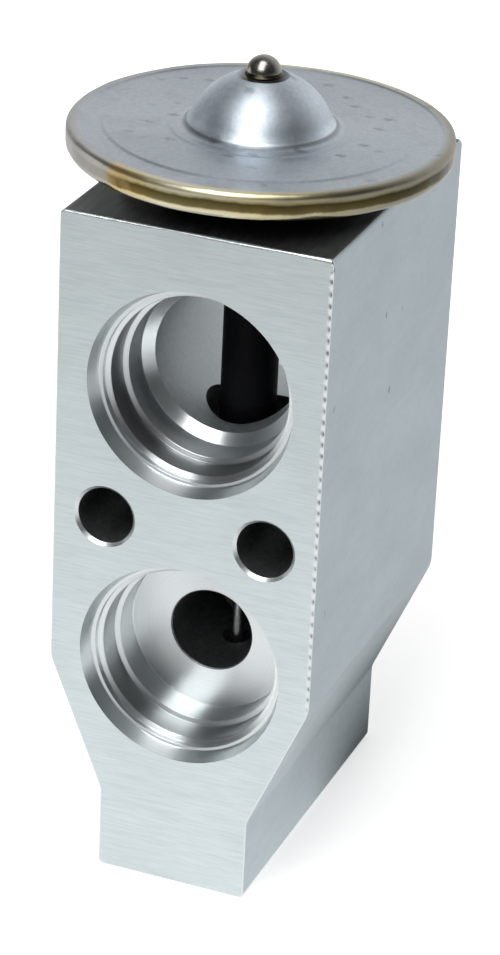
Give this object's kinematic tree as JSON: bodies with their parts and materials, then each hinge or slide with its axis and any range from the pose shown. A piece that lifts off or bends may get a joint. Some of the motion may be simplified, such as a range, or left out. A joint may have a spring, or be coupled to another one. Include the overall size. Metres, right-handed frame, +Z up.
{
  "type": "expansion valve",
  "caption": "Block thermostatic expansion valve: stepped aluminium block with round ports front and rear, bolt holes, a welded power head on top and an adjusting screw in the base.",
  "frame": {"origin": "on the base, at the middle of the whole valve's width and depth", "axes": "+Z up along the stem, -Y out of the front face with the evaporator ports, +X to the right seen from the front"},
  "size_m": [0.045, 0.0474, 0.0995],
  "materials": {
    "milled_aluminium": "milled and extruded, satin",
    "turned_aluminium": "turned, satin",
    "pressed_steel": "pressed, dull, with heat tint at the weld",
    "thin_stainless": "bright rolled or drawn",
    "ball_steel": "polished",
    "black_plastic": "matt",
    "green_rubber": "dull"
  },
  "bodies": {
    "block": {"valve_body": "milled_aluminium", "head_upper_housing": "pressed_steel", "head_lower_housing": "pressed_steel", "charge_seal_ball": "ball_steel", "diaphragm": "thin_stainless", "head_o_ring": "green_rubber", "rod_o_ring": "green_rubber", "o_ring_retainer": "thin_stainless", "superheat_spring": "thin_stainless"},
    "valve_train": {"diaphragm_stop_plate": "thin_stainless", "sensing_rod": "turned_aluminium", "rod_sleeve": "black_plastic", "push_pin": "thin_stainless", "valve_ball": "ball_steel", "ball_holder": "turned_aluminium", "damper_spring": "thin_stainless"},
    "screw_seal": {"screw_o_ring": "green_rubber"},
    "screw": {"adjusting_screw": "turned_aluminium"}
  },
  "joints": [
    {"name": "valve_lift", "type": "slide", "parent": "block", "child": "valve_train", "axis": [0, 0, 1], "range_m": [0, 0.0007], "deforming": ["diaphragm", "superheat_spring"]},
    {"name": "screw_travel", "type": "slide", "parent": "block", "child": "screw_seal", "axis": [0, 0, 1], "range_m": [-0.001, 0.001], "deforming": ["superheat_spring"]},
    {"name": "screw_turn", "type": "hinge", "parent": "screw_seal", "child": "screw", "pos_m": [0, -0.0012, 0.005], "axis": [0, 0, 1], "range_deg": [-360, 360]}
  ],
  "couplings": [
    {"joint": "screw_travel", "follows": "screw_turn", "m_per_rad": 0.00015915}
  ]
}
